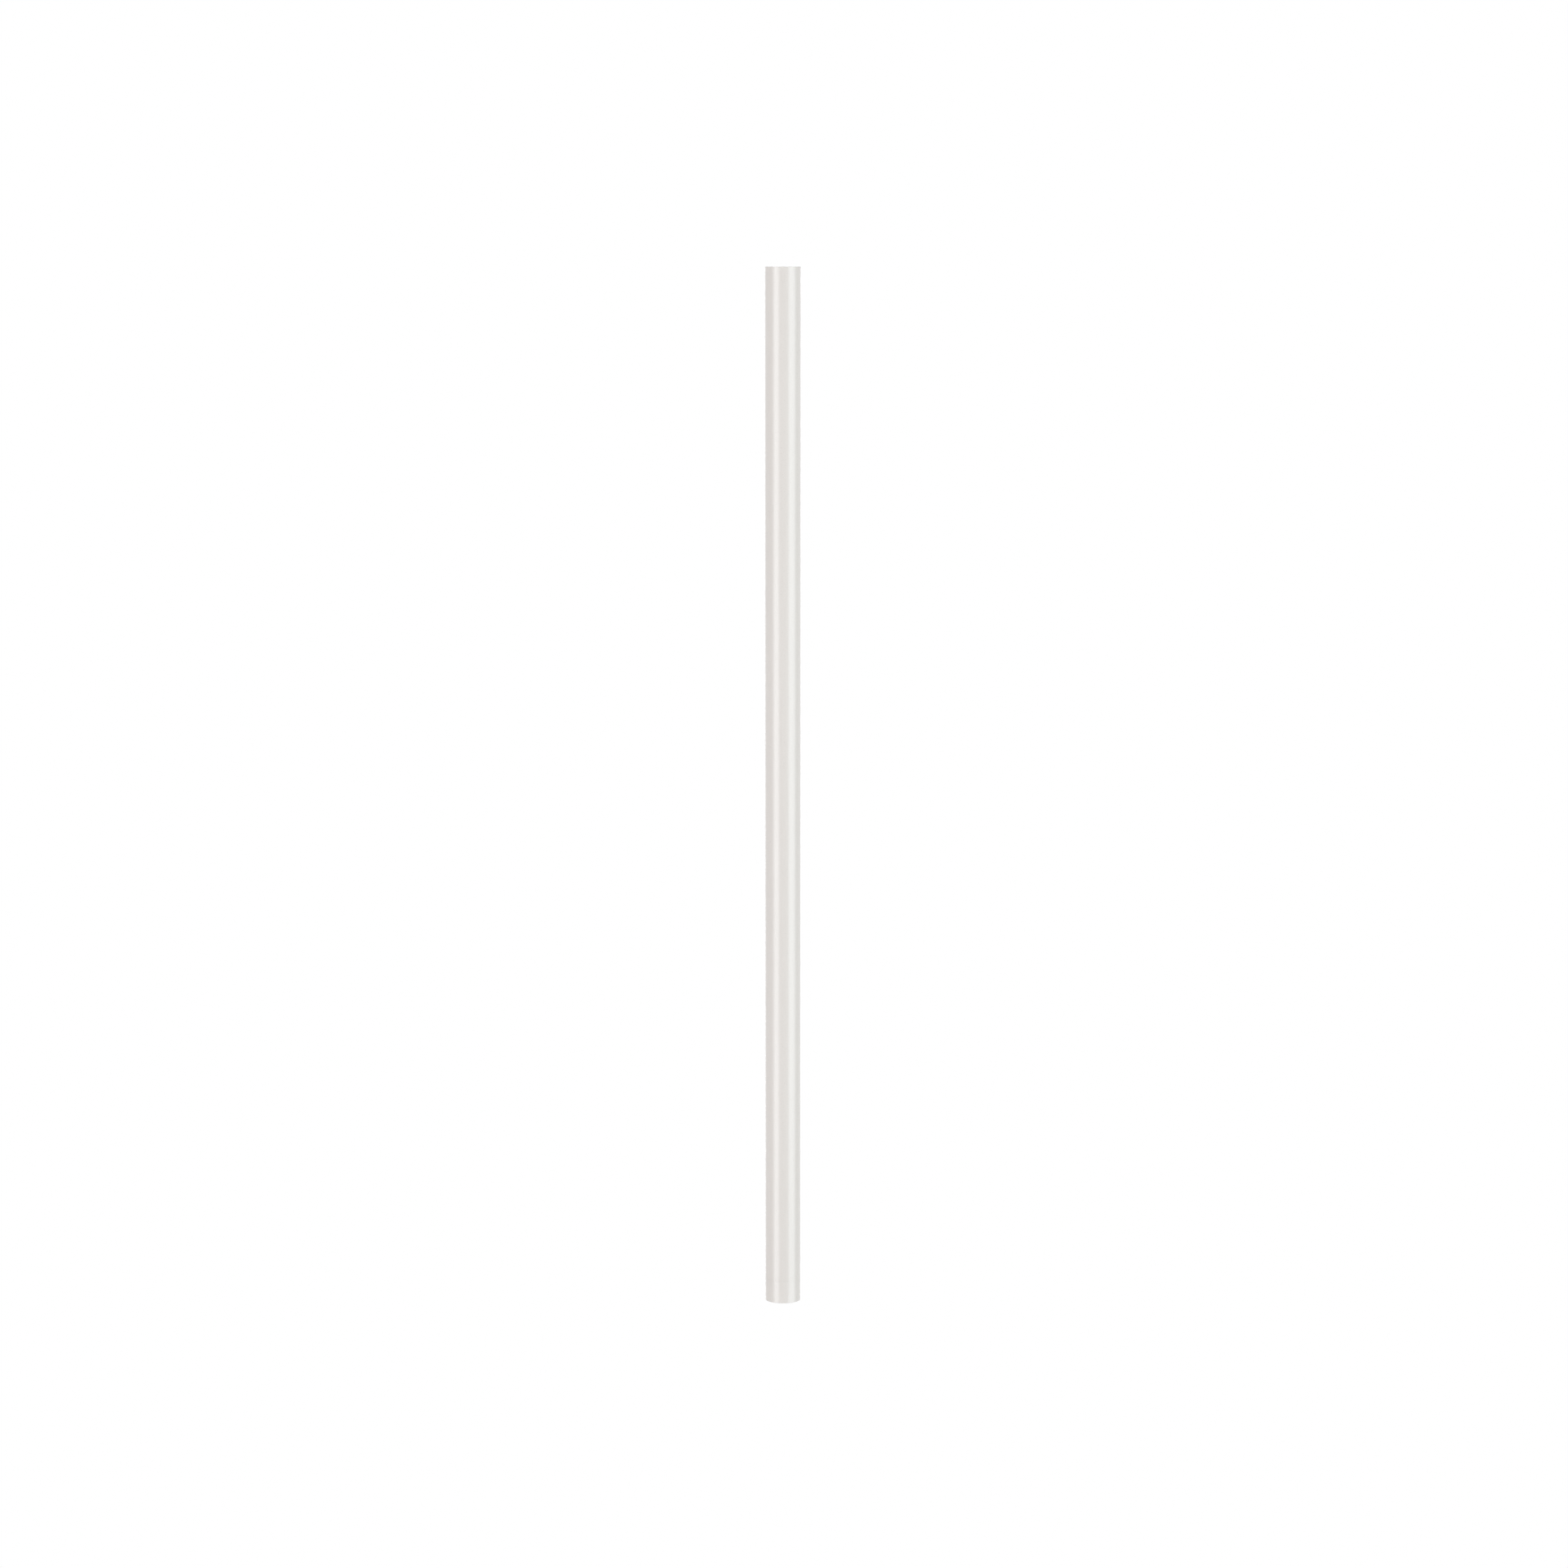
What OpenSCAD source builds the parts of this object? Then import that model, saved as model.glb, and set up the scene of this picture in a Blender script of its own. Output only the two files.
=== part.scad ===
// Telescopic white cane in three round sections, drawn closed and unlocked.
// The axis is Z, the tip stands on z = 0, and lengths are in millimetres.
// A twist lock inside the hand tube holds the middle section, and one inside the
// middle tube holds the tip section.

/* [Cane] */
// Length of the closed cane, from the tip's foot to the top of the cap
closed_len = 470; // [360:5:700]
// Hairline between the tip and the tubes that it stops
seam = 0.02; // [0.01:0.01:0.5]

/* [Tubes] */
// Outside diameter of the hand tube
hand_od = 16; // [15:0.5:22]
// Wall of the hand tube
hand_wall = 0.75; // [0.5:0.05:1.1]
// Wall of the middle tube
middle_wall = 0.75; // [0.5:0.05:1.1]
// Wall of the tip tube
tip_wall = 0.75; // [0.5:0.05:1.5]

/* [Guide bushes] */
// Wall of the bush in each tube's mouth
bush_wall = 0.68; // [0.5:0.02:0.9]
// Length of the bush in the hand tube
upper_bush_len = 25; // [12:1:60]
// Length of the bush in the middle tube
lower_bush_len = 22; // [12:1:60]

/* [Top cap] */
// Depth of the cap inside the hand tube
cap_depth = 14; // [8:1:30]
// Thickness of the cap's top
cap_top = 3; // [1:0.5:6]
// Wall of the cap's skirt
cap_wall = 1.6; // [0.8:0.1:3]
// Thickness of the rubber pad under the cap
pad_h = 4; // [1:0.5:10]
// Free space between the closed locks and what is above them
top_room = 0.8; // [0.3:0.1:10]

/* [Upper lock] */
// Diameter of the upper lock's spindle
upper_spindle_d = 5; // [4:0.5:5.5]
// Lead of the upper spindle's thread in one turn
upper_lead = 0.8; // [0.5:0.05:1.5]
// Length of the upper expanding sleeve
upper_sleeve_len = 20; // [16:1:40]
// Width across flats of the upper spindle's head and nut
upper_hex = 8; // [6.5:0.5:9]
// Height of the upper stop nut
upper_nut_h = 4; // [2:0.1:6]

/* [Lower lock] */
// Diameter of the lower lock's spindle
lower_spindle_d = 4; // [3:0.5:4.5]
// Lead of the lower spindle's thread in one turn
lower_lead = 0.7; // [0.5:0.05:1.5]
// Length of the lower expanding sleeve
lower_sleeve_len = 18; // [16:1:40]
// Width across flats of the lower spindle's head and nut
lower_hex = 6; // [5.5:0.5:6.5]
// Height of the lower stop nut
lower_nut_h = 3.2; // [2:0.1:6]

/* [Both locks] */
// Depth of a lock plug inside its tube
plug_len = 16; // [10:1:30]
// Height of the spindle's head, sunk in the plug's foot
head_h = 3.5; // [2:0.5:6]
// Height of the plug's shoulder, which guides the section and stops it at full length
shoulder_h = 3; // [1.5:0.5:6]
// Height of each cone
cone_h = 6; // [4:0.5:7.5]
// How much a cone's radius narrows over its height
cone_drop = 1; // [0.5:0.1:1.3]
// Wall of the sleeve at its ends
sleeve_wall = 1.6; // [1.2:0.1:1.7]
// Slits cut into each end of the sleeve
sleeve_slits = 4; // [2:2:6]
// Width of a slit
slit_w = 1.2; // [0.9:0.1:1.6]
// Uncut length that ties the sleeve together past the end of a slit
slit_bridge = 4; // [2:0.5:6]
// Thickness of the cone nut's flange
flange_h = 2; // [1:0.5:4]
// Lugs on the cone nut that ride in the sleeve's slits
lug_count = 2; // [1:1:2]
// Spindle thread that shows past the stop nut
thread_end = 1; // [0.5:0.1:3]
// Turn of a section that tightens its lock, in degrees
lock_turn = 270; // [90:10:300]

/* [Tip] */
// Height of the tip below the tubes
tip_h = 10; // [8:0.5:30]
// Radius around the tip's foot
tip_edge_r = 0.2; // [0.1:0.1:3]
// Diameter of the stud that holds the tip
stud_d = 5; // [3:0.5:6]
// Depth of the stud in the tip
stud_in_tip = 6; // [3:0.5:7]
// Depth of the stud in the ferrule
stud_in_ferrule = 12; // [6:0.5:15]
// Length of the ferrule in the tip tube
ferrule_len = 16; // [15:1:40]

/* [Clearances] */
// Radial gap at a pressed or bonded fit
press_gap = 0.02; // [0.01:0.01:0.05]
// Radial gap between a bush and the tube that slides in it
run_gap = 0.05; // [0.02:0.01:0.1]
// Radial gap between a lock and the bore that it slides in
bore_gap = 0.15; // [0.1:0.05:0.3]
// Radial gap between a cone nut and its spindle's thread
thread_gap = 0.05; // [0.02:0.01:0.1]
// Radial gap between a cone and its seat in the sleeve
cone_gap = 0.1; // [0.05:0.05:0.3]
// Radial gap around the spindle in the sleeve's waist
waist_gap = 0.5; // [0.3:0.1:0.9]
// Gap on each side of a lug in its slit, and at the lug's outer face
lug_gap = 0.2; // [0.1:0.05:0.3]
// End gap between a loose lock's pieces
end_gap = 0.3; // [0.1:0.05:1]

/* [Hidden] */
$fn = 96;
cut = 1;

// Diameters follow from the hand tube inwards, a bush between each pair of tubes.
bush_step = 2 * (bush_wall + press_gap + run_gap);
hand_id = hand_od - 2 * hand_wall;
middle_od = hand_id - bush_step;
middle_id = middle_od - 2 * middle_wall;
tip_od = middle_id - bush_step;
tip_id = tip_od - 2 * tip_wall;

// Heights in a lock, measured from the rim of the tube that carries it
sleeve_z = shoulder_h + end_gap;
upper_flange_z = sleeve_z + upper_sleeve_len + end_gap + upper_lead * lock_turn / 360;
upper_nut_z = upper_flange_z + flange_h + end_gap;
upper_spindle_top = upper_nut_z + upper_nut_h + thread_end;
lower_flange_z = sleeve_z + lower_sleeve_len + end_gap + lower_lead * lock_turn / 360;
lower_nut_z = lower_flange_z + flange_h + end_gap;
lower_spindle_top = lower_nut_z + lower_nut_h + thread_end;

// Heights of the closed cane
tube_foot = tip_h + seam;
cap_foot = closed_len - cap_depth;
middle_rim = cap_foot - pad_h - top_room - upper_spindle_top;
tip_rim = middle_rim - plug_len - top_room - lower_spindle_top;

white_coat = [0.87, 0.86, 0.84];
white_nylon = [0.88, 0.87, 0.85];
black_nylon = [0.12, 0.12, 0.13];
grey_nylon = [0.55, 0.56, 0.57];
plated_steel = [0.72, 0.73, 0.74];
bare_aluminium = [0.78, 0.79, 0.80];
black_rubber = [0.08, 0.08, 0.08];

// A round pipe that stands on z = 0
module pipe(od, id, len) {
    difference() {
        cylinder(d = od, h = len);
        translate([0, 0, -cut]) cylinder(d = id, h = len + 2 * cut);
    }
}

// A six-sided bar that stands on z = 0
module hex_bar(flats, len) {
    cylinder(d = flats / cos(30), h = len, $fn = 6);
}

// Radius of a cone's seat at the end of the sleeve, in a lock that slides in this bore
function seat_r(bore_d) = bore_d / 2 - bore_gap - sleeve_wall;

// Plug in the top of a tube: body below the rim, then the shoulder and the lower cone
module lock_plug(bore_d, tube_id, spindle_d, hex) {
    base_r = seat_r(bore_d) - cone_gap;
    difference() {
        rotate_extrude() polygon([
            [spindle_d / 2 + press_gap, -plug_len],
            [tube_id / 2 - press_gap, -plug_len],
            [tube_id / 2 - press_gap, 0],
            [bore_d / 2 - bore_gap, 0],
            [bore_d / 2 - bore_gap, shoulder_h],
            [base_r, shoulder_h],
            [base_r - cone_drop, shoulder_h + cone_h],
            [spindle_d / 2 + press_gap, shoulder_h + cone_h]
        ]);
        translate([0, 0, -plug_len - cut]) hex_bar(hex + 2 * press_gap, head_h + cut);
    }
}

// Screw spindle: a six-sided head in the plug's foot and a shank up through the lock
module lock_spindle(spindle_d, hex, top_z) {
    translate([0, 0, -plug_len]) {
        hex_bar(hex, head_h);
        cylinder(d = spindle_d, h = plug_len + top_z);
    }
}

// Expanding sleeve: a conical seat in each end, and slits from both ends by turns
module lock_sleeve(bore_d, spindle_d, len) {
    waist_r = spindle_d / 2 + waist_gap;
    slit_step = 360 / sleeve_slits;
    difference() {
        rotate_extrude() polygon([
            [waist_r, cone_h],
            [seat_r(bore_d) - cone_drop, cone_h],
            [seat_r(bore_d), 0],
            [bore_d / 2 - bore_gap, 0],
            [bore_d / 2 - bore_gap, len],
            [seat_r(bore_d), len],
            [seat_r(bore_d) - cone_drop, len - cone_h],
            [waist_r, len - cone_h]
        ]);
        for (i = [0 : sleeve_slits - 1]) {
            rotate(i * slit_step) translate([0, -slit_w / 2, slit_bridge])
                cube([bore_d, slit_w, len]);
            rotate((i + 0.5) * slit_step) translate([0, -slit_w / 2, -slit_bridge])
                cube([bore_d, slit_w, len]);
        }
    }
}

// Cone nut: a flange above the sleeve, the upper cone, and lugs that keep it from turning
module cone_nut(bore_d, spindle_d) {
    base_r = seat_r(bore_d) - cone_gap;
    thread_r = spindle_d / 2 + thread_gap;
    lug_w = slit_w - 2 * lug_gap;
    lug_r = bore_d / 2 - bore_gap - lug_gap;
    rotate_extrude() polygon([
        [thread_r, -cone_h],
        [base_r - cone_drop, -cone_h],
        [base_r, 0],
        [bore_d / 2 - bore_gap, 0],
        [bore_d / 2 - bore_gap, flange_h],
        [thread_r, flange_h]
    ]);
    for (i = [0 : lug_count - 1]) {
        rotate(i * 360 / lug_count) translate([base_r - cone_drop, -lug_w / 2, -cone_h])
            cube([lug_r - base_r + cone_drop, lug_w, cone_h]);
    }
}

// Six-sided nut fixed at the end of a spindle
module stop_nut(spindle_d, hex, len) {
    difference() {
        hex_bar(hex, len);
        translate([0, 0, -cut]) cylinder(d = spindle_d + 2 * press_gap, h = len + 2 * cut);
    }
}

module hand_tube() {
    color(white_coat) translate([0, 0, tube_foot])
        pipe(hand_od, hand_id, closed_len - tube_foot);
}

// Cup-shaped plug, flush with the rim of the hand tube
module top_cap() {
    cap_od = hand_id - 2 * press_gap;
    color(white_nylon) translate([0, 0, cap_foot]) difference() {
        cylinder(d = cap_od, h = cap_depth);
        translate([0, 0, -cut]) cylinder(d = cap_od - 2 * cap_wall, h = cap_depth - cap_top + cut);
    }
}

module buffer_pad() {
    color(black_rubber) translate([0, 0, cap_foot - pad_h])
        cylinder(d = hand_id - 2 * press_gap, h = pad_h);
}

module upper_bush() {
    color(black_nylon) translate([0, 0, tube_foot])
        pipe(hand_id - 2 * press_gap, middle_od + 2 * run_gap, upper_bush_len);
}

module middle_tube() {
    color(white_coat) translate([0, 0, tube_foot])
        pipe(middle_od, middle_id, middle_rim - tube_foot);
}

module upper_lock_plug() {
    color(grey_nylon) translate([0, 0, middle_rim])
        lock_plug(hand_id, middle_id, upper_spindle_d, upper_hex);
}

module upper_lock_spindle() {
    color(plated_steel) translate([0, 0, middle_rim])
        lock_spindle(upper_spindle_d, upper_hex, upper_spindle_top);
}

module upper_stop_nut() {
    color(plated_steel) translate([0, 0, middle_rim + upper_nut_z])
        stop_nut(upper_spindle_d, upper_hex, upper_nut_h);
}

module upper_lock_sleeve() {
    color(black_nylon) translate([0, 0, middle_rim + sleeve_z])
        lock_sleeve(hand_id, upper_spindle_d, upper_sleeve_len);
}

module upper_cone_nut() {
    color(grey_nylon) translate([0, 0, middle_rim + upper_flange_z])
        cone_nut(hand_id, upper_spindle_d);
}

module lower_bush() {
    color(black_nylon) translate([0, 0, tube_foot])
        pipe(middle_id - 2 * press_gap, tip_od + 2 * run_gap, lower_bush_len);
}

module tip_tube() {
    color(white_coat) translate([0, 0, tip_h]) pipe(tip_od, tip_id, tip_rim - tip_h);
}

module lower_lock_plug() {
    color(grey_nylon) translate([0, 0, tip_rim])
        lock_plug(middle_id, tip_id, lower_spindle_d, lower_hex);
}

module lower_lock_spindle() {
    color(plated_steel) translate([0, 0, tip_rim])
        lock_spindle(lower_spindle_d, lower_hex, lower_spindle_top);
}

module lower_stop_nut() {
    color(plated_steel) translate([0, 0, tip_rim + lower_nut_z])
        stop_nut(lower_spindle_d, lower_hex, lower_nut_h);
}

module lower_lock_sleeve() {
    color(black_nylon) translate([0, 0, tip_rim + sleeve_z])
        lock_sleeve(middle_id, lower_spindle_d, lower_sleeve_len);
}

module lower_cone_nut() {
    color(grey_nylon) translate([0, 0, tip_rim + lower_flange_z])
        cone_nut(middle_id, lower_spindle_d);
}

module tip_ferrule() {
    color(bare_aluminium) translate([0, 0, tip_h])
        pipe(tip_id - 2 * press_gap, stud_d + 2 * press_gap, ferrule_len);
}

module tip_stud() {
    color(plated_steel) translate([0, 0, tip_h - stud_in_tip])
        cylinder(d = stud_d, h = stud_in_tip + stud_in_ferrule);
}

// Foot as wide as the hand tube, with a rounded lower edge and a blind hole for the stud
module tip() {
    tip_r = hand_od / 2;
    hole_r = stud_d / 2 + press_gap;
    color(white_nylon) rotate_extrude() difference() {
        union() {
            translate([0, tip_edge_r]) square([tip_r, tip_h - tip_edge_r]);
            square([tip_r - tip_edge_r, tip_h]);
            translate([tip_r - tip_edge_r, tip_edge_r]) circle(r = tip_edge_r);
        }
        translate([-cut, tip_h - stud_in_tip]) square([hole_r + cut, stud_in_tip + cut]);
    }
}

hand_tube();
top_cap();
buffer_pad();
upper_bush();
middle_tube();
upper_lock_plug();
upper_lock_spindle();
upper_stop_nut();
upper_lock_sleeve();
upper_cone_nut();
lower_bush();
tip_tube();
lower_lock_plug();
lower_lock_spindle();
lower_stop_nut();
lower_lock_sleeve();
lower_cone_nut();
tip_ferrule();
tip_stud();
tip();
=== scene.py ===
# Looks of a closed telescopic white cane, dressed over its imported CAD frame.
# Lengths are in metres, Z runs up the cane, and the tip stands at z = 0.
import math

import bmesh
import bpy
from mathutils import Matrix, Vector


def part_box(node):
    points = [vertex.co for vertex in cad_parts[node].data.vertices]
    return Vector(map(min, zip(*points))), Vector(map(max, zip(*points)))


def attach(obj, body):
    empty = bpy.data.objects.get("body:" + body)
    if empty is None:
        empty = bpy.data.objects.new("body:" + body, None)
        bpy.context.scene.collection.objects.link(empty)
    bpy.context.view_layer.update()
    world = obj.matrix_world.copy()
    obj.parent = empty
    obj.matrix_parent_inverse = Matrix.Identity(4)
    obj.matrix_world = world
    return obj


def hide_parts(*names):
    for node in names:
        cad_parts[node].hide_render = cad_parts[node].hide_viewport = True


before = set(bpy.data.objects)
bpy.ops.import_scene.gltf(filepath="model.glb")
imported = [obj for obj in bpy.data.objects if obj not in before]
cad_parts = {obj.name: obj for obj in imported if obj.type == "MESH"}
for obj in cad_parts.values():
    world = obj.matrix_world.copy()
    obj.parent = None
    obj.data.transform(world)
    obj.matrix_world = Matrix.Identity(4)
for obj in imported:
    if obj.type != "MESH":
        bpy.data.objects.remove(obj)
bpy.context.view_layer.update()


# Tubes: three nested aluminium tubes, drawn, cut square, and powder coated off-white outside
# and over their rims. The bores stay bare, with the lengthwise lines of the drawing mandrel.
MM = 0.001
MERGE_DISTANCE = 0.001 * MM
SHARP_FOLD = math.radians(25)
SHADED_FOLD = math.radians(28)
TURN_STEPS = 128
TUBE_WALL = 0.75 * MM
RIM_BREAK = 0.02 * MM
RIM_TONE_DEPTH = 0.35 * MM
RIM_TONE = 0.5
PEEL_SIZE = 0.29 * MM
PEEL_TONE = 0.4
SWELL_SIZE = 1.9 * MM
SWELL_RELIEF = 0.45
CLOUD_SIZE = 34 * MM
NIB_SPACING = 4.4 * MM
NIB_RADIUS = 0.12 * MM
NIB_CORE = 0.4
NIB_TONE = 0.7
NIB_RELIEF = 0.6
COAT_WHITE = (0.717, 0.665, 0.625, 1)
COAT_SHADE = (0.689, 0.637, 0.597, 1)
COAT_NIB = (0.33, 0.31, 0.28, 1)
COAT_RIM = (0.6, 0.585, 0.555, 1)
COAT_ROUGHNESS = (0.25, 0.32)
COAT_RELIEF = 0.012 * MM
BORE_METAL = (0.68, 0.69, 0.7, 1)
BORE_DULL = (0.52, 0.53, 0.54, 1)


def turned(outline, closed=True):
    """A mesh turned about Z from an outline of (radius, height) points."""
    mesh = bmesh.new()
    points = [mesh.verts.new((radius, 0, height)) for radius, height in outline]
    following = points[1:] + points[:1] if closed else points[1:]
    edges = [mesh.edges.new(pair) for pair in zip(points, following)]
    bmesh.ops.spin(
        mesh, geom=points + edges, axis=(0, 0, 1), angle=2 * math.pi,
        steps=TURN_STEPS, use_merge=True,
    )
    bmesh.ops.remove_doubles(mesh, verts=mesh.verts, dist=MERGE_DISTANCE)
    bmesh.ops.recalc_face_normals(mesh, faces=mesh.faces)
    return mesh


def rounded(mesh, size, segments, wanted=lambda radius, height: True):
    """Rounds the sharp edges whose middle has a wanted radius and height."""
    sharp = []
    for edge in mesh.edges:
        if not edge.is_manifold or edge.calc_face_angle() < SHARP_FOLD:
            continue
        radius = (edge.verts[0].co.xy.length + edge.verts[1].co.xy.length) / 2
        height = (edge.verts[0].co.z + edge.verts[1].co.z) / 2
        if wanted(radius, height):
            sharp.append(edge)
    bmesh.ops.bevel(
        mesh, geom=sharp, offset=size, affect="EDGES", segments=segments,
        profile=0.5, material=-1, clamp_overlap=True,
    )


def fitted(mesh, node, body, slot, *finishes):
    """Makes a mesh the piece that stands for a CAD node, on its body, with its finishes."""
    data = bpy.data.meshes.new(node)
    mesh.to_mesh(data)
    mesh.free()
    data.shade_smooth()
    data.set_sharp_from_angle(angle=SHADED_FOLD)
    for finish in finishes:
        data.materials.append(finish)
    piece = bpy.data.objects.new(node + "_dressed", data)
    bpy.context.scene.collection.objects.link(piece)
    shading = piece.modifiers.new("even_shading", "WEIGHTED_NORMAL")
    shading.keep_sharp = True
    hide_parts(node)
    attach(piece, body)


class Value:
    """A socket among a material's nodes, so that shader maths reads as arithmetic.

    With no socket it is only a place to add a tree's first node.
    """

    def __init__(self, tree, socket=None):
        self.tree = tree
        self.socket = socket

    def node(self, kind, settings, sockets, output=0):
        """Adds a node with its settings, fills its sockets, and gives one of its outputs."""
        made = self.tree.nodes.new(kind)
        for name, setting in settings.items():
            setattr(made, name, setting)
        for name, value in sockets.items():
            if isinstance(value, Value):
                self.tree.links.new(value.socket, made.inputs[name])
            else:
                made.inputs[name].default_value = value
        return Value(self.tree, made.outputs[output])

    def maths(self, operation, first, second):
        return self.node("ShaderNodeMath", {"operation": operation}, {0: first, 1: second})

    def __add__(self, other):
        return self.maths("ADD", self, other)

    def __sub__(self, other):
        return self.maths("SUBTRACT", self, other)

    def __rsub__(self, other):
        return self.maths("SUBTRACT", other, self)

    def __mul__(self, other):
        return self.maths("MULTIPLY", self, other)

    __radd__ = __add__
    __rmul__ = __mul__

    def noise(self, size, detail=2, stretch=(1, 1, 1)):
        """Soft noise with features of a size, read at this point stretched by three factors."""
        place = self.node("ShaderNodeVectorMath", {"operation": "DIVIDE"}, {0: self, 1: stretch})
        return self.node("ShaderNodeTexNoise", {}, {"Vector": place, "Scale": 1 / size, "Detail": detail})

    def fade(self, start, end):
        """1 up to start, and 0 from end on."""
        return self.node(
            "ShaderNodeMapRange", {"interpolation_type": "SMOOTHSTEP"},
            {"Value": self, "From Min": start, "From Max": end, "To Min": 1.0, "To Max": 0.0},
        )

    def mixed(self, other, share):
        """This value with a share of another mixed in."""
        return (1 - share) * self + share * other

    def between(self, low, high):
        """From low to high as this value goes from 0 to 1."""
        return low + (high - low) * self

    def colour(self, low, high):
        """A colour from low to high as this value goes from 0 to 1."""
        # A Mix node's colours are its inputs 6 and 7 and its output 2.
        return self.node("ShaderNodeMix", {"data_type": "RGBA"}, {0: self, 6: low, 7: high}, 2)

    def feed(self, socket):
        self.tree.links.new(self.socket, socket)

    def relief(self, surface, depth):
        """Makes this value the height of a surface's fine relief, of a depth in metres."""
        bump = self.node("ShaderNodeBump", {}, {"Height": self, "Distance": depth, "Strength": 1.0})
        bump.feed(surface.inputs["Normal"])


def new_finish(name, metallic=0.0, specular=0.5):
    """A material with its surface shader and the point that its patterns read."""
    finish = bpy.data.materials.new(name)
    finish.use_nodes = True
    tree = finish.node_tree
    surface = tree.nodes["Principled BSDF"]
    surface.inputs["Metallic"].default_value = metallic
    surface.inputs["Specular IOR Level"].default_value = specular
    spot = Value(tree).node("ShaderNodeTexCoord", {}, {}, "Object")
    return finish, surface, spot


def white_coat(name, top):
    """Satin powder coat with orange peel, a few nibs, and a darker tone in a thin band at the top rim."""
    finish, surface, spot = new_finish(name, specular=1.0)
    peel = spot.noise(PEEL_SIZE)
    swell = spot.noise(SWELL_SIZE, detail=1)
    cloud = spot.noise(CLOUD_SIZE, detail=3)
    height = spot.node("ShaderNodeSeparateXYZ", {}, {"Vector": spot}, "Z")
    # The tone turns darker over the last RIM_TONE_DEPTH below the top of the tube.
    rim = (top - height).fade(0.0, RIM_TONE_DEPTH)
    nib = spot.node("ShaderNodeTexVoronoi", {}, {"Vector": spot, "Scale": 1 / NIB_SPACING})
    nib = nib.fade(NIB_CORE * NIB_RADIUS / NIB_SPACING, NIB_RADIUS / NIB_SPACING)
    tone = cloud.mixed(peel, PEEL_TONE).colour(COAT_SHADE, COAT_WHITE)
    tone = (RIM_TONE * rim).colour(tone, COAT_RIM)
    tone = (NIB_TONE * nib).colour(tone, COAT_NIB)
    tone.feed(surface.inputs["Base Color"])
    peel.between(*COAT_ROUGHNESS).feed(surface.inputs["Roughness"])
    (peel.mixed(swell, SWELL_RELIEF) + NIB_RELIEF * nib).relief(surface, COAT_RELIEF)
    return finish


def grained_finish(
    name, grain, patches, grain_share, tones, roughness, depth,
    grain_gloss=False, metallic=0.0, specular=0.5,
):
    """A finish with a fine grain over broad patches, each given as the arguments of a noise.

    The two mix in its tone, one of them sets its gloss, and the grain is its relief.
    """
    finish, surface, spot = new_finish(name, metallic, specular)
    fine = spot.noise(*grain)
    broad = spot.noise(*patches)
    broad.mixed(fine, grain_share).colour(*tones).feed(surface.inputs["Base Color"])
    gloss = fine if grain_gloss else broad
    gloss.between(*roughness).feed(surface.inputs["Roughness"])
    fine.relief(surface, depth)
    return finish


drawn_bore = grained_finish(
    "drawn_bore", grain=(0.16 * MM, 2, (1, 1, 90)), patches=(9 * MM, 3), grain_share=0.5,
    tones=(BORE_DULL, BORE_METAL), roughness=(0.28, 0.53), depth=0.004 * MM, metallic=1.0,
)
for node, body in (
    ("hand_tube", "hand_section"),
    ("middle_tube", "middle_section"),
    ("tip_tube", "tip_section"),
):
    low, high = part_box(node)
    outer, inner = high.x, high.x - TUBE_WALL
    tube = turned([(inner, low.z), (outer, low.z), (outer, high.z), (inner, high.z)])
    rounded(tube, RIM_BREAK, segments=2)
    for face in tube.faces:
        if face.calc_center_median().xy.length < inner + RIM_BREAK / 4:
            face.material_index = 1
    fitted(tube, node, body, "white_coat", white_coat(node + "_coat", high.z), drawn_bore)


# Guide bushes: two thin sleeves of black nylon, pressed into the mouths of the hand tube and the
# middle tube, flush with the rim. The tube inside runs on their bores, which have a lead-in at each end.
BUSH_WALL = 0.68 * MM
BUSH_LEAD = 0.25 * MM
NEAR = 0.1 * MM  # an edge or face this close to a rim counts as on it
NYLON_BLACK = (0.018, 0.018, 0.02, 1)
NYLON_BLACK_RUB = (0.045, 0.045, 0.048, 1)


def moulded_nylon(name, tones, roughness):
    """Moulded nylon: a fine spark-eroded skin with soft flow marks in its tone."""
    return grained_finish(
        name, grain=(0.12 * MM,), patches=(3.5 * MM, 3, (1, 1, 3)), grain_share=0.35,
        tones=tones, roughness=roughness, depth=0.006 * MM, grain_gloss=True,
    )


black_nylon = moulded_nylon("black_nylon", (NYLON_BLACK, NYLON_BLACK_RUB), (0.34, 0.5))
for node, body in (("upper_bush", "hand_section"), ("lower_bush", "middle_section")):
    low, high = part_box(node)
    outer, inner = high.x, high.x - BUSH_WALL
    bush = turned([(inner, low.z), (outer, low.z), (outer, high.z), (inner, high.z)])
    rounded(bush, BUSH_LEAD, segments=3, wanted=lambda radius, height: radius < inner + NEAR)
    rounded(bush, RIM_BREAK, segments=2, wanted=lambda radius, height: radius > outer - NEAR)
    fitted(bush, node, body, "black_nylon", black_nylon)


# Top cap: a cup of white nylon, moulded and pressed into the top of the hand tube, flush with its
# rim. Its edge is rounded, and a small sunk spot in the middle is left by the mould's gate.
CAP_TOP = 3 * MM
CAP_WALL = 1.6 * MM
CAP_EDGE = 0.3 * MM
GATE_RADIUS = 0.9 * MM
GATE_FLOOR = 0.63 * MM
GATE_DEPTH = 0.2 * MM
GATE_EDGE = 0.04 * MM


def white_nylon(name):
    """White nylon in the coat's tone, with a fine moulded skin."""
    return grained_finish(
        name, grain=(PEEL_SIZE,), patches=(CLOUD_SIZE, 3), grain_share=PEEL_TONE,
        tones=(COAT_SHADE, COAT_WHITE), roughness=COAT_ROUGHNESS, depth=0.007 * MM,
        grain_gloss=True, specular=1.0,
    )


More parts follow.
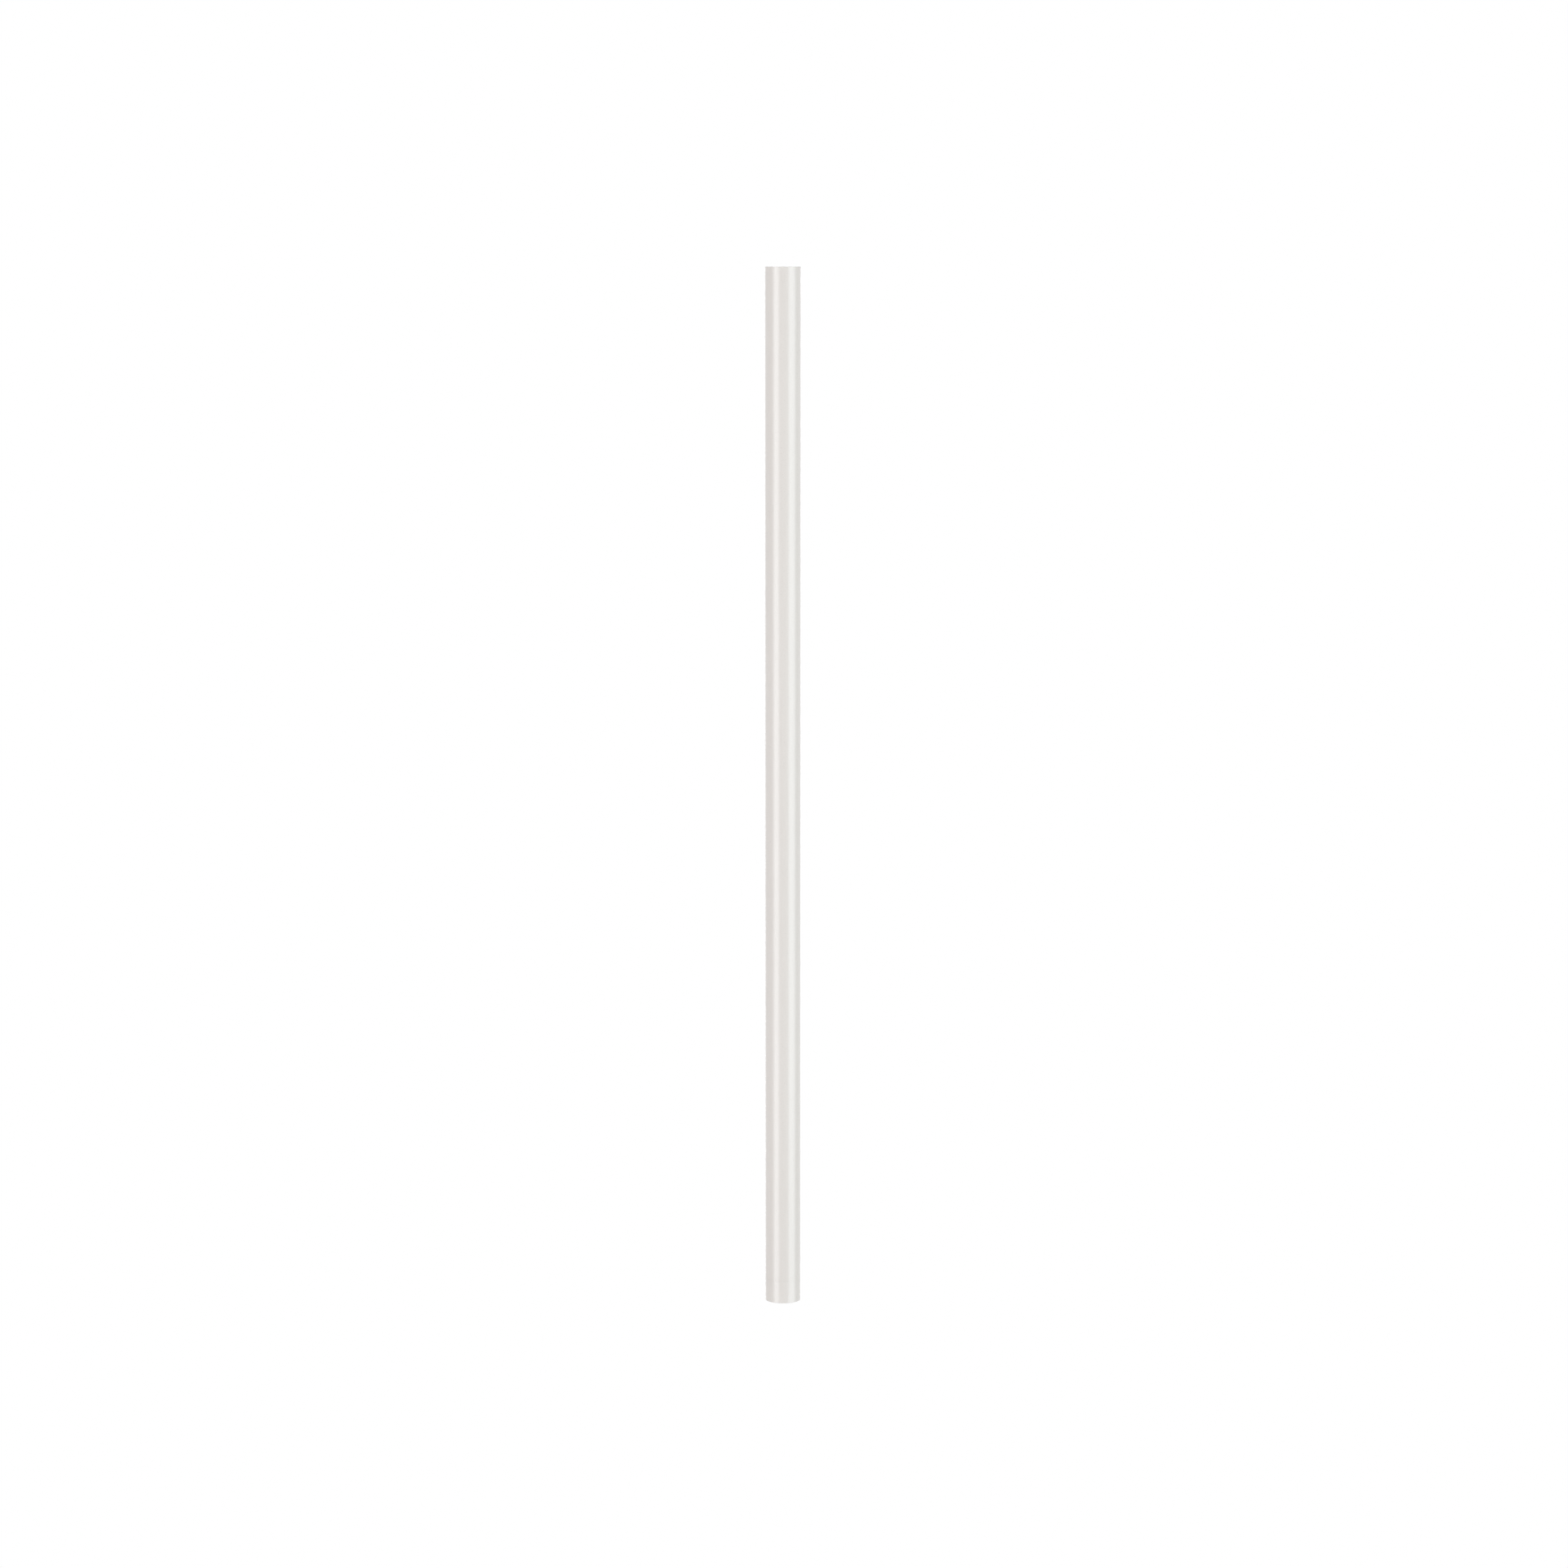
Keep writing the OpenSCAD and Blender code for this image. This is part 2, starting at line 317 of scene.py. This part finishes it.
low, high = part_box("top_cap")
outer, inner = high.x, high.x - CAP_WALL
cap = turned(
    [
        (0, high.z - GATE_DEPTH), (GATE_FLOOR, high.z - GATE_DEPTH), (GATE_RADIUS, high.z),
        (outer, high.z), (outer, low.z), (inner, low.z),
        (inner, high.z - CAP_TOP), (0, high.z - CAP_TOP),
    ],
    closed=False,
)
rounded(cap, CAP_EDGE, segments=4, wanted=lambda radius, height: radius > inner - NEAR)
rounded(cap, GATE_EDGE, segments=2, wanted=lambda radius, height: radius < GATE_RADIUS + NEAR)
fitted(cap, "top_cap", "hand_section", "white_nylon", white_nylon("cap_nylon"))


# Buffer pad: a disc cut from black rubber sheet and pushed in below the cap, which softens the
# stop when the cane is closed. Its edges are a little rounded by the cutter.
PAD_EDGE = 0.4 * MM
RUBBER_DEEP = (0.01, 0.01, 0.01, 1)
RUBBER_DUSTY = (0.035, 0.035, 0.034, 1)

black_rubber = grained_finish(
    "black_rubber", grain=(0.35 * MM,), patches=(5 * MM, 3), grain_share=0.3,
    tones=(RUBBER_DEEP, RUBBER_DUSTY), roughness=(0.7, 0.9), depth=0.02 * MM, specular=0.3,
)
low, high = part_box("buffer_pad")
pad = turned([(0, low.z), (high.x, low.z), (high.x, high.z), (0, high.z)], closed=False)
rounded(pad, PAD_EDGE, segments=3)
fitted(pad, "buffer_pad", "hand_section", "black_rubber", black_rubber)


# Lock plugs: glass-filled grey nylon, moulded, and pressed into the tops of the middle and tip tubes.
# The shoulder rests on the tube's rim, the cone above it spreads the sleeve, and a six-sided pocket
# in the foot holds the spindle's head.
RING_STEPS = 96
UPPER_SCREW_RADIUS, LOWER_SCREW_RADIUS = 2.5 * MM, 2 * MM
UPPER_FLATS, LOWER_FLATS = 8 * MM, 6 * MM
PLUG_DEPTH = 16 * MM
HEAD_HEIGHT = 3.5 * MM
SHOULDER_HEIGHT = 3 * MM
SLEEVE_WALL = 1.6 * MM
CONE_GAP = 0.1 * MM
CONE_DROP = 1 * MM
PRESS_GAP = 0.02 * MM
PRESS_LEAD = 0.5 * MM
MOULD_EDGE = 0.15 * MM
NYLON_GREY = (0.2, 0.21, 0.22, 1)
NYLON_GREY_PALE = (0.32, 0.33, 0.34, 1)


def hexagon(flats):
    """Radius of a hexagon at an angle, with a corner on +X."""
    return lambda angle: flats / 2 / math.cos(angle % (math.pi / 3) - math.pi / 6)


def ring_on(mesh, edges, radius, height):
    """Extrudes a ring of edges and gives the new ring a radius and height, or functions of angle."""
    made = bmesh.ops.extrude_edge_only(mesh, edges=edges)["geom"]
    fresh = [item for item in made if isinstance(item, bmesh.types.BMVert)]
    for vert in fresh:
        angle = math.atan2(vert.co.y, vert.co.x)
        reach = radius(angle) if callable(radius) else radius
        level = height(angle) if callable(height) else height
        vert.co = (reach * math.cos(angle), reach * math.sin(angle), level)
    kept = set(fresh)
    return [item for item in made if isinstance(item, bmesh.types.BMEdge) and kept.issuperset(item.verts)]


def first_ring(radius, height):
    """A new mesh that holds one ring of edges, and the ring."""
    mesh = bmesh.new()
    bmesh.ops.create_circle(mesh, segments=RING_STEPS, radius=radius)
    bmesh.ops.translate(mesh, verts=mesh.verts, vec=(0, 0, height))
    return mesh, mesh.edges[:]


def ringed(rings):
    """A closed mesh through rings of (radius, height), back to the first of them, which is round."""
    mesh, edges = first_ring(*rings[0])
    for radius, height in rings[1:] + rings[:1]:
        edges = ring_on(mesh, edges, radius, height)
    bmesh.ops.remove_doubles(mesh, verts=mesh.verts, dist=MERGE_DISTANCE)
    bmesh.ops.recalc_face_normals(mesh, faces=mesh.faces)
    return mesh


grey_nylon = moulded_nylon("grey_nylon", (NYLON_GREY, NYLON_GREY_PALE), (0.4, 0.56))
for node, body, tube, screw_radius, flats in (
    ("upper_lock_plug", "middle_section", "middle_tube", UPPER_SCREW_RADIUS, UPPER_FLATS),
    ("lower_lock_plug", "tip_section", "tip_tube", LOWER_SCREW_RADIUS, LOWER_FLATS),
):
    low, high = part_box(node)
    outer = high.x
    cone = outer - SLEEVE_WALL - CONE_GAP
    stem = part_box(tube)[1].x - TUBE_WALL - PRESS_GAP
    bore = screw_radius + PRESS_GAP
    pocket = hexagon(flats + 2 * PRESS_GAP)
    rim = low.z + PLUG_DEPTH
    cone_foot = rim + SHOULDER_HEIGHT
    plug = ringed([
        (bore, low.z + HEAD_HEIGHT), (pocket, low.z + HEAD_HEIGHT), (pocket, low.z),
        (stem - PRESS_LEAD, low.z), (stem, low.z + PRESS_LEAD), (stem, rim),
        (outer, rim), (outer, cone_foot), (cone, cone_foot),
        (cone - CONE_DROP, high.z), (bore, high.z),
    ])
    rounded(plug, MOULD_EDGE, segments=2, wanted=lambda radius, height: radius > outer - NEAR)
    rounded(
        plug, MOULD_EDGE, segments=2,
        wanted=lambda radius, height: radius > bore + NEAR and height > high.z - NEAR,
    )
    fitted(plug, node, body, "grey_nylon", grey_nylon)


# Lock spindles: zinc-plated steel screws. A six-sided head sits in the plug's foot, the shank is
# pressed through the plug, and the upper part has a rolled thread for the cone nut and stop nut.
HEX_FACE = 0.96
HEX_SLOPE = math.tan(math.radians(30))
THREAD_LENGTH = 16 * MM
THREAD_DEPTH = 0.54
THREAD_ROOT_FLAT = 0.25
THREAD_FLANK = 0.3125
THREAD_END_DEPTH = 0.6
THREAD_END_HEIGHT = 0.5
ZINC = (0.62, 0.63, 0.64, 1)
ZINC_DULL = (0.45, 0.46, 0.48, 1)


def rolled_thread(radius, pitch, foot, top):
    """A screw thread about Z, open and cut square at both ends."""
    root = radius - THREAD_DEPTH * pitch
    outline = (
        (root, 0), (root, THREAD_ROOT_FLAT), (radius, THREAD_ROOT_FLAT + THREAD_FLANK),
        (radius, 1 - THREAD_FLANK), (root, 1),
    )
    mesh = bmesh.new()
    points = [mesh.verts.new((reach, 0, foot + (part - 1) * pitch)) for reach, part in outline]
    edges = [mesh.edges.new(pair) for pair in zip(points, points[1:])]
    steps = RING_STEPS // 2
    bmesh.ops.spin(
        mesh, geom=points + edges, axis=(0, 0, 1), dvec=(0, 0, pitch / steps),
        angle=2 * math.pi, steps=steps,
    )
    one_turn = mesh.verts[:] + mesh.edges[:] + mesh.faces[:]
    for turn in range(1, math.ceil((top - foot) / pitch) + 2):
        copied = bmesh.ops.duplicate(mesh, geom=one_turn)["geom"]
        raised = [item for item in copied if isinstance(item, bmesh.types.BMVert)]
        bmesh.ops.translate(mesh, verts=raised, vec=(0, 0, turn * pitch))
    bmesh.ops.remove_doubles(mesh, verts=mesh.verts, dist=MERGE_DISTANCE)
    for height, keeps in ((foot, 1), (top, -1)):
        geometry = mesh.verts[:] + mesh.edges[:] + mesh.faces[:]
        bmesh.ops.bisect_plane(
            mesh, geom=geometry, dist=MERGE_DISTANCE / 10, plane_co=(0, 0, height),
            plane_no=(0, 0, keeps), clear_inner=True,
        )
    return mesh


def end_ring(mesh, height):
    """The open ring of edges at a height."""
    return [
        edge for edge in mesh.edges
        if edge.is_boundary and all(abs(vert.co.z - height) < MERGE_DISTANCE for vert in edge.verts)
    ]


def chamfered_end(mesh, radius, pitch, thread_end, face):
    """Closes a thread's open end with a chamfer and a flat face at a height."""
    ring = ring_on(mesh, end_ring(mesh, thread_end), radius - THREAD_END_DEPTH * pitch, face)
    bmesh.ops.holes_fill(mesh, edges=ring, sides=0)


def hex_bevel(corners, face_radius, face, towards):
    """Height of a hexagon's bevelled rim at an angle, from its round face up (1) or down (-1)."""
    return lambda angle: face + towards * (corners(angle) - face_radius) * HEX_SLOPE


plated_steel = grained_finish(
    "plated_steel", grain=(0.08 * MM,), patches=(2.5 * MM, 4), grain_share=0.3,
    tones=(ZINC_DULL, ZINC), roughness=(0.2, 0.45), depth=0.002 * MM, metallic=1.0,
)
for node, body, radius, pitch, flats in (
    ("upper_lock_spindle", "middle_section", UPPER_SCREW_RADIUS, 0.8 * MM, UPPER_FLATS),
    ("lower_lock_spindle", "tip_section", LOWER_SCREW_RADIUS, 0.7 * MM, LOWER_FLATS),
):
    low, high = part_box(node)
    thread_top = high.z - THREAD_END_HEIGHT * pitch
    thread_foot = high.z - THREAD_LENGTH
    head_top = low.z + HEAD_HEIGHT
    face_radius = HEX_FACE * flats / 2
    corners = hexagon(flats)
    spindle = rolled_thread(radius, pitch, thread_foot, thread_top)
    chamfered_end(spindle, radius, pitch, thread_top, high.z)
    ring = end_ring(spindle, thread_foot)
    for reach, height in (
        (radius, thread_foot - pitch),
        (radius, head_top),
        (corners, head_top),
        (corners, hex_bevel(corners, face_radius, low.z, 1)),
        (face_radius, low.z),
    ):
        ring = ring_on(spindle, ring, reach, height)
    bmesh.ops.holes_fill(spindle, edges=ring, sides=0)
    bmesh.ops.recalc_face_normals(spindle, faces=spindle.faces)
    fitted(spindle, node, body, "plated_steel", plated_steel)


# Lock sleeves: black nylon, moulded with slits from both ends by turns, so that the two cones can
# spread them against the bore. Each end has a conical seat, and the waist runs clear of the spindle.
SEAT_DEPTH = 6 * MM
SEAT_LEDGE = 0.4 * MM
WAIST_GAP = 0.5 * MM
SLIT_COUNT = 4
SLIT_WIDTH = 1.2 * MM
SLIT_COLUMNS = 3
SLIT_BRIDGE = 4 * MM
SHEET = 0.01 * MM


def half_angle(columns):
    """Angle from the middle to the side of a slit or lug that takes up some of a ring's columns."""
    return columns * math.pi / RING_STEPS


def in_columns(face, count, columns, first=0.0):
    """Whether a face is in one of a count of slits or lugs, spaced evenly from a first angle."""
    centre = face.calc_center_median()
    angle = math.atan2(centre.y, centre.x) - first
    spacing = 2 * math.pi / count
    return abs(angle - round(angle / spacing) * spacing) < half_angle(columns)


def make_parallel(mesh, count, columns, width):
    """Gives each of a count of slits or lugs one width at every radius, by turning vertices about Z."""
    spacing = 2 * math.pi / count
    for vert in mesh.verts:
        radius = vert.co.xy.length
        angle = math.atan2(vert.co.y, vert.co.x)
        middle = round(angle / spacing) * spacing
        off = abs(angle - middle)
        side = math.asin(width / 2 / radius)
        if off < half_angle(columns):
            moved = side * off / half_angle(columns)
        else:
            share = (off - half_angle(columns)) / (spacing / 2 - half_angle(columns))
            moved = side + share * (spacing / 2 - side)
        angle = middle + math.copysign(moved, angle - middle)
        vert.co.xy = (radius * math.cos(angle), radius * math.sin(angle))
    mesh.normal_update()


for node, body, screw_radius in (
    ("upper_lock_sleeve", "upper_sleeve", UPPER_SCREW_RADIUS),
    ("lower_lock_sleeve", "lower_sleeve", LOWER_SCREW_RADIUS),
):
    low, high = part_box(node)
    outer = high.x
    seat = outer - SLEEVE_WALL
    bore_rows = (
        (0, seat),
        (SLIT_BRIDGE, seat - CONE_DROP * SLIT_BRIDGE / SEAT_DEPTH),
        (SEAT_DEPTH, seat - CONE_DROP),
        (SEAT_DEPTH + SEAT_LEDGE, screw_radius + WAIST_GAP),
    )
    rows = [(low.z + depth, reach) for depth, reach in bore_rows]
    rows += [(high.z - depth, reach) for depth, reach in reversed(bore_rows)]
    sleeve, ring = first_ring(outer, low.z)
    half_column = Matrix.Rotation(half_angle(1), 3, "Z")
    bmesh.ops.rotate(sleeve, verts=sleeve.verts, cent=(0, 0, 0), matrix=half_column)
    for height, reach in rows[1:]:
        ring = ring_on(sleeve, ring, outer, height)
    slits = []
    for face in sleeve.faces:
        height = face.calc_center_median().z
        of_top = in_columns(face, SLIT_COUNT, SLIT_COLUMNS)
        of_foot = in_columns(face, SLIT_COUNT, SLIT_COLUMNS, first=math.pi / SLIT_COUNT)
        if of_top and height > low.z + SLIT_BRIDGE or of_foot and height < high.z - SLIT_BRIDGE:
            slits.append(face)
    bmesh.ops.delete(sleeve, geom=slits, context="FACES")
    bmesh.ops.recalc_face_normals(sleeve, faces=sleeve.faces)
    bmesh.ops.solidify(sleeve, geom=sleeve.faces[:], thickness=SHEET)
    for vert in sleeve.verts:
        if vert.co.xy.length < outer - SHEET / 2:
            reach = min(rows, key=lambda row: abs(row[0] - vert.co.z))[1]
            vert.co.xy = vert.co.xy.normalized() * reach
    make_parallel(sleeve, 2 * SLIT_COUNT, SLIT_COLUMNS, SLIT_WIDTH)
    rounded(sleeve, MOULD_EDGE, segments=2, wanted=lambda radius, height: radius > outer - NEAR)
    fitted(sleeve, node, body, "black_nylon", black_nylon)


# Cone nuts: the same grey nylon as the plugs, moulded. A nut runs on the spindle's thread above the
# sleeve, and two lugs on its cone ride in the sleeve's slits, so that it can't turn with the screw.
FLANGE_HEIGHT = 2 * MM
THREAD_GAP = 0.05 * MM
LUG_COUNT = 2
LUG_GAP = 0.2 * MM
LUG_COLUMNS = 2
BORE_LEAD = 0.3 * MM

for node, body, screw_radius in (
    ("upper_cone_nut", "upper_nut", UPPER_SCREW_RADIUS),
    ("lower_cone_nut", "lower_nut", LOWER_SCREW_RADIUS),
):
    low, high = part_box(node)
    outer = high.x
    bore = screw_radius + THREAD_GAP
    cone = outer - SLEEVE_WALL - CONE_GAP
    lug = outer - LUG_GAP
    flange_foot = high.z - FLANGE_HEIGHT
    nut = ringed([
        (bore, low.z), (cone - CONE_DROP, low.z), (cone, flange_foot), (lug, flange_foot),
        (outer, flange_foot), (outer, high.z), (bore + BORE_LEAD, high.z), (bore, high.z - BORE_LEAD),
    ])
    covered = []
    for face in nut.faces:
        centre = face.calc_center_median()
        beside_cone = low.z + NEAR < centre.z < flange_foot - NEAR and centre.xy.length > bore + NEAR
        if beside_cone and in_columns(face, LUG_COUNT, LUG_COLUMNS):
            covered.append(face)
    for item in bmesh.ops.extrude_face_region(nut, geom=covered)["geom"]:
        if isinstance(item, bmesh.types.BMVert):
            item.co.xy = item.co.xy.normalized() * lug
    covered += [
        face for face in nut.faces
        if in_columns(face, LUG_COUNT, LUG_COLUMNS) and face.calc_center_median().xy.length < lug
        and all(abs(vert.co.z - flange_foot) < MERGE_DISTANCE for vert in face.verts)
    ]
    bmesh.ops.delete(nut, geom=covered, context="FACES")
    bmesh.ops.remove_doubles(nut, verts=nut.verts, dist=MERGE_DISTANCE)
    bmesh.ops.recalc_face_normals(nut, faces=nut.faces)
    make_parallel(nut, LUG_COUNT, LUG_COLUMNS, SLIT_WIDTH - 2 * LUG_GAP)
    rounded(nut, MOULD_EDGE, segments=2, wanted=lambda radius, height: radius > outer - NEAR)
    fitted(nut, node, body, "grey_nylon", grey_nylon)


# Stop nuts: six-sided nuts of the same plated steel as the spindles, fixed on their ends so that
# a lock can't come apart. Both faces are bevelled round, and the bore has a lead-in.
for node, body, screw_radius, flats in (
    ("upper_stop_nut", "middle_section", UPPER_SCREW_RADIUS, UPPER_FLATS),
    ("lower_stop_nut", "tip_section", LOWER_SCREW_RADIUS, LOWER_FLATS),
):
    low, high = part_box(node)
    bore = screw_radius + PRESS_GAP
    face_radius = HEX_FACE * flats / 2
    corners = hexagon(flats)
    nut = ringed([
        (bore, low.z + BORE_LEAD),
        (bore + BORE_LEAD, low.z),
        (face_radius, low.z),
        (corners, hex_bevel(corners, face_radius, low.z, 1)),
        (corners, hex_bevel(corners, face_radius, high.z, -1)),
        (face_radius, high.z),
        (bore + BORE_LEAD, high.z),
        (bore, high.z - BORE_LEAD),
    ])
    fitted(nut, node, body, "plated_steel", plated_steel)


# Tip ferrule: a turned aluminium bush, bonded into the lower end of the tip tube. Two shallow
# grooves around it hold the adhesive, and its bore takes the stud.
STUD_RADIUS = 2.5 * MM
FERRULE_LEAD = 0.3 * MM
GROOVE_PLACES = (0.3, 0.62)
GROOVE_DEPTH = 0.25 * MM
GROOVE_WIDTH = 1.2 * MM
TURNED_METAL = (0.7, 0.71, 0.72, 1)
TURNED_DULL = (0.56, 0.57, 0.58, 1)

turned_aluminium = grained_finish(
    "turned_aluminium", grain=(0.11 * MM, 2, (60, 60, 1)), patches=(3 * MM, 3), grain_share=0.5,
    tones=(TURNED_DULL, TURNED_METAL), roughness=(0.22, 0.42), depth=0.004 * MM, metallic=1.0,
)
low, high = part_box("tip_ferrule")
outer, bore = high.x, STUD_RADIUS + PRESS_GAP
outline = [(bore, low.z), (outer, low.z)]
for place in GROOVE_PLACES:
    height = low.z + place * (high.z - low.z)
    outline += [
        (outer, height), (outer - GROOVE_DEPTH, height + GROOVE_DEPTH),
        (outer - GROOVE_DEPTH, height + GROOVE_WIDTH), (outer, height + GROOVE_WIDTH + GROOVE_DEPTH),
    ]
outline += [(outer, high.z), (bore, high.z)]
ferrule = turned(outline)
rounded(
    ferrule, FERRULE_LEAD, segments=1,
    wanted=lambda radius, height: not low.z + NEAR < height < high.z - NEAR,
)
fitted(ferrule, "tip_ferrule", "tip_section", "bare_aluminium", turned_aluminium)


# Tip stud: a length of zinc-plated threaded rod with chamfered ends. It is screwed into the ferrule
# above and into the tip below, and holds the two together.
STUD_PITCH = 0.8 * MM
low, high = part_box("tip_stud")
thread_foot = low.z + THREAD_END_HEIGHT * STUD_PITCH
thread_top = high.z - THREAD_END_HEIGHT * STUD_PITCH
stud = rolled_thread(STUD_RADIUS, STUD_PITCH, thread_foot, thread_top)
chamfered_end(stud, STUD_RADIUS, STUD_PITCH, thread_top, high.z)
chamfered_end(stud, STUD_RADIUS, STUD_PITCH, thread_foot, low.z)
bmesh.ops.recalc_face_normals(stud, faces=stud.faces)
fitted(stud, "tip_stud", "tip_section", "plated_steel", plated_steel)


# Tip: a foot of white nylon rod, as wide as the hand tube and turned with a small radius below.
# It screws onto the stud and closes the mouth of the hand tube when the cane is shut.
TIP_EDGE = 0.2 * MM
TIP_HOLE_DEPTH = 6 * MM
low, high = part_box("tip")
hole = STUD_RADIUS + PRESS_GAP
tip = turned(
    [
        (0, low.z), (high.x, low.z), (high.x, high.z), (hole, high.z),
        (hole, high.z - TIP_HOLE_DEPTH), (0, high.z - TIP_HOLE_DEPTH),
    ],
    closed=False,
)
rounded(tip, TIP_EDGE, segments=6, wanted=lambda radius, height: height < low.z + NEAR)
rounded(tip, RIM_BREAK, segments=2, wanted=lambda radius, height: height > high.z - NEAR)
fitted(tip, "tip", "tip_section", "white_nylon", white_nylon("tip_nylon"))


# Stage: a sheet of pale paper, far enough down for the cane to stand on it drawn out, which turns
# to the white of the backdrop further off. From below it is clear.
FLOOR_HEIGHT = -0.7262
FLOOR_SIZE = 9
FLOOR_NEAR, FLOOR_FAR = 0.5, 1.7
FLOOR_WHITE_SHARE = 0.3
PAPER_PALE = (0.86, 0.86, 0.86, 1)
PAPER_ROUGHNESS = 0.9
WHITE = (1, 1, 1, 1)
FILL_LIGHT = 0.335


def seen_rays(tree):
    """1 for the rays that show the backdrop: to the camera, in gloss and through glass."""
    to_camera, in_gloss, through = (
        Value(tree).node("ShaderNodeLightPath", {}, {}, name)
        for name in ("Is Camera Ray", "Is Glossy Ray", "Is Transmission Ray")
    )
    return to_camera + in_gloss + through


bpy.context.scene.view_settings.view_transform = "Standard"
# A picture baked from a finish runs straight on past the edges of its map, which keeps dark lines off
# the seams.
bpy.context.scene.render.bake.margin_type = "EXTEND"
ground = bmesh.new()
bmesh.ops.create_grid(ground, x_segments=1, y_segments=1, size=FLOOR_SIZE)
bmesh.ops.translate(ground, verts=ground.verts, vec=(0, 0, FLOOR_HEIGHT))
ground_data = bpy.data.meshes.new("floor")
ground.to_mesh(ground_data)
ground.free()
floor = bpy.data.objects.new("floor", ground_data)
bpy.context.scene.collection.objects.link(floor)

paper, paper_surface, spot = new_finish("floor_paper", specular=0.0)
paper_surface.inputs["Base Color"].default_value = PAPER_PALE
paper_surface.inputs["Roughness"].default_value = PAPER_ROUGHNESS
tree = paper.node_tree
reach = spot.node("ShaderNodeVectorMath", {"operation": "MULTIPLY"}, {0: spot, 1: (1, 1, 0)})
reach = reach.node("ShaderNodeVectorMath", {"operation": "LENGTH"}, {0: reach}, "Value")
white_share = 1 - (1 - FLOOR_WHITE_SHARE) * reach.fade(FLOOR_NEAR, FLOOR_FAR)
white = spot.node("ShaderNodeEmission", {}, {"Color": WHITE, "Strength": 1.0})
lit = Value(tree, paper_surface.outputs[0])
shown = spot.node("ShaderNodeMixShader", {}, {0: white_share * seen_rays(tree), 1: lit, 2: white})
under = spot.node("ShaderNodeNewGeometry", {}, {}, "Backfacing")
clear = spot.node("ShaderNodeBsdfTransparent", {}, {})
shown = under.node("ShaderNodeMixShader", {}, {0: under, 1: shown, 2: clear})
shown.feed(tree.nodes["Material Output"].inputs["Surface"])
floor.data.materials.append(paper)

world = bpy.data.worlds.new("studio")
bpy.context.scene.world = world
world.use_nodes = True
tree = world.node_tree
seen = seen_rays(tree)
fill = seen.node("ShaderNodeBackground", {}, {"Color": WHITE, "Strength": FILL_LIGHT})
backdrop = seen.node("ShaderNodeBackground", {}, {"Color": WHITE, "Strength": 1.0})
backdrop = seen.node("ShaderNodeMixShader", {}, {0: seen, 1: fill, 2: backdrop})
backdrop.feed(tree.nodes["World Output"].inputs["Surface"])


# Lamps: tall soft strips on both sides of the camera, which make the two bright lines down the
# tube, one behind the cane and a soft box above it.
STRIP_DISTANCE = 1.3
STRIP_MIDDLE = 0.42
STRIP_TALL = 1.9
TOP_BOX_HEIGHT = 1.75
TOP_BOX_SIZE = 0.9
TOP_BOX_POWER = 8.0


def soft_lamp(name, azimuth, distance, height, aim_height, size, power, tint=(1, 1, 1)):
    """A rectangular lamp aimed at the cane's axis, at an azimuth from the camera's side."""
    angle = math.radians(azimuth)
    lamp = bpy.data.lights.new(name, "AREA")
    lamp.shape = "RECTANGLE"
    lamp.size, lamp.size_y = size
    lamp.energy = power
    lamp.color = tint
    holder = bpy.data.objects.new(name, lamp)
    holder.location = (distance * math.sin(angle), -distance * math.cos(angle), height)
    aim = Vector((0, 0, aim_height)) - holder.location
    holder.rotation_mode = "QUATERNION"
    holder.rotation_quaternion = aim.to_track_quat("-Z", "Y")
    holder.visible_camera = False
    bpy.context.scene.collection.objects.link(holder)


for name, azimuth, width, power, tint in (
    ("left_strip", -45, 0.83, 12.6, (0.97, 1.0, 1.03)),
    ("right_strip", 61, 1.14, 14.2, (0.91, 1.0, 1.03)),
    ("back_strip", 180, 0.8, 9.5, (0.93, 1.0, 1.03)),
):
    size = (width, STRIP_TALL)
    soft_lamp(name, azimuth, STRIP_DISTANCE, STRIP_MIDDLE, STRIP_MIDDLE, size, power, tint)
soft_lamp(
    "top_box", azimuth=0, distance=0, height=TOP_BOX_HEIGHT, aim_height=0,
    size=(TOP_BOX_SIZE, TOP_BOX_SIZE), power=TOP_BOX_POWER,
)


# Camera: level with the cap and turned down a little, so that the cap is seen edge on and the
# foot shows as a shallow curve. Its lens is given in millimetres, as Blender's is.
CAMERA_PLACE = (0.00047, -1.83, 0.4702)
CAMERA_DOWN = math.radians(7.2249)
SENSOR_WIDTH = 36
FOCAL_LENGTH = 93.795
lens = bpy.data.cameras.new("camera")
lens.sensor_width = SENSOR_WIDTH
lens.lens = FOCAL_LENGTH
camera = bpy.data.objects.new("camera", lens)
camera.location = CAMERA_PLACE
camera.rotation_euler = (math.pi / 2 - CAMERA_DOWN, 0, 0)
bpy.context.scene.collection.objects.link(camera)
bpy.context.scene.camera = camera
